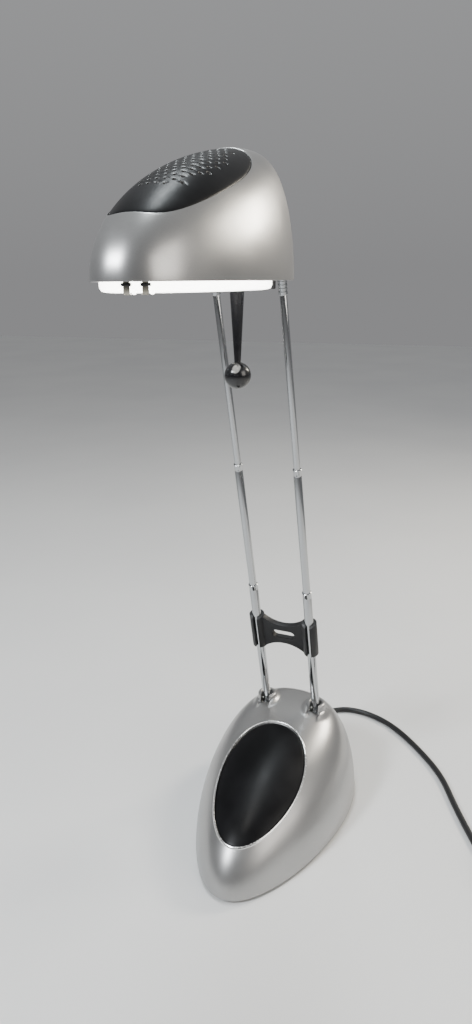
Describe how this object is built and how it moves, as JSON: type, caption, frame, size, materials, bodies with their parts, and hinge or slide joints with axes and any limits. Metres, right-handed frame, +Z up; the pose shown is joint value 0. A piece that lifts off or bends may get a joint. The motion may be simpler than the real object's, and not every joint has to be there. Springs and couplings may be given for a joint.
{
  "type": "architect desk lamp",
  "caption": "Egg-shaped halogen desk lamp with twin chrome telescopic arms, tilting head and handle ball.",
  "frame": {"origin": "on the table plane, directly below the pivot line of the two arms, midway between them", "axes": "+Z up, -Y the way the noses of base and head point, +X the user's right when the user faces +Y"},
  "size_m": [0.3299, 0.3727, 0.515],
  "materials": {
    "silver_paint": "satin metallic paint on moulded plastic",
    "satin_black": "satin moulded plastic",
    "black_plastic": "moulded plastic",
    "black_steel": "powder coated",
    "zinc_steel": "zinc plated",
    "core_steel": "varnished laminations",
    "copper_winding": "enamelled wire",
    "white_nylon": "moulded",
    "black_rubber": "matt",
    "black_pvc": "smooth",
    "nickel": "nickel plated",
    "chrome": "polished",
    "brass": "turned",
    "bright_aluminium": "polished",
    "ceramic": "unglazed",
    "quartz": "clear",
    "opal_glass": "frosted white"
  },
  "bodies": {
    "base": {"base_shell": "silver_paint", "base_insert": "satin_black", "base_plate": "black_steel", "base_screws": "zinc_steel", "rubber_feet": "black_rubber", "transformer_core": "core_steel", "transformer_coil": "copper_winding", "transformer_bracket": "zinc_steel", "bracket_screws": "zinc_steel", "terminal_block": "white_nylon", "arm_socket_left": "silver_paint", "arm_socket_right": "silver_paint", "arm_pivot_pins": "zinc_steel", "socket_nuts": "zinc_steel", "switch_housing": "black_plastic", "cord_gland": "black_pvc", "cord_run": "black_pvc", "cord_tail": "black_pvc", "cord_coil": "black_pvc", "cord_tie": "black_plastic", "plug_body": "black_pvc", "plug_pins": "nickel"},
    "rocker": {"switch_rocker": "black_plastic"},
    "lower_arms": {"lower_tube_left": "chrome", "lower_tube_right": "chrome", "arm_eye_left": "chrome", "arm_eye_right": "chrome"},
    "spacer": {"spacer_clip": "black_plastic"},
    "middle_arms": {"middle_tube_left": "chrome", "middle_tube_right": "chrome", "middle_sleeves": "brass"},
    "upper_arms": {"upper_tube_left": "chrome", "upper_tube_right": "chrome", "upper_sleeves": "brass", "arm_tip_left": "chrome", "arm_tip_right": "chrome"},
    "head": {"head_shell": "silver_paint", "head_insert": "satin_black", "reflector": "bright_aluminium", "lamp_holder": "ceramic", "bulb_capsule": "quartz", "bulb_pins": "nickel", "glass_cover": "opal_glass", "glass_clips": "chrome", "head_chassis": "black_plastic", "head_pivot_pins": "zinc_steel", "handle_rod": "satin_black", "handle_ball": "satin_black"}
  },
  "joints": [
    {"name": "arm_tilt", "type": "hinge", "parent": "base", "child": "lower_arms", "pos_m": [0, 0, 0.0755], "axis": [1, 0, 0], "range_deg": [-20, 30]},
    {"name": "spacer_slide", "type": "slide", "parent": "lower_arms", "child": "spacer", "axis": [0, -0.2487, 0.9686], "range_m": [-0.045, 0]},
    {"name": "middle_slide", "type": "slide", "parent": "lower_arms", "child": "middle_arms", "axis": [0, -0.2487, 0.9686], "range_m": [-0.085, 0.01]},
    {"name": "upper_slide", "type": "slide", "parent": "middle_arms", "child": "upper_arms", "axis": [0, -0.2487, 0.9686], "range_m": [-0.095, 0.01]},
    {"name": "head_tilt", "type": "hinge", "parent": "upper_arms", "child": "head", "pos_m": [0, -0.09565, 0.44802], "axis": [1, 0, 0], "range_deg": [-15, 30]},
    {"name": "switch_rock", "type": "hinge", "parent": "base", "child": "rocker", "pos_m": [0, 0.0492, 0.032], "axis": [0, 0.225, -0.9744], "range_deg": [-12, 0]}
  ]
}
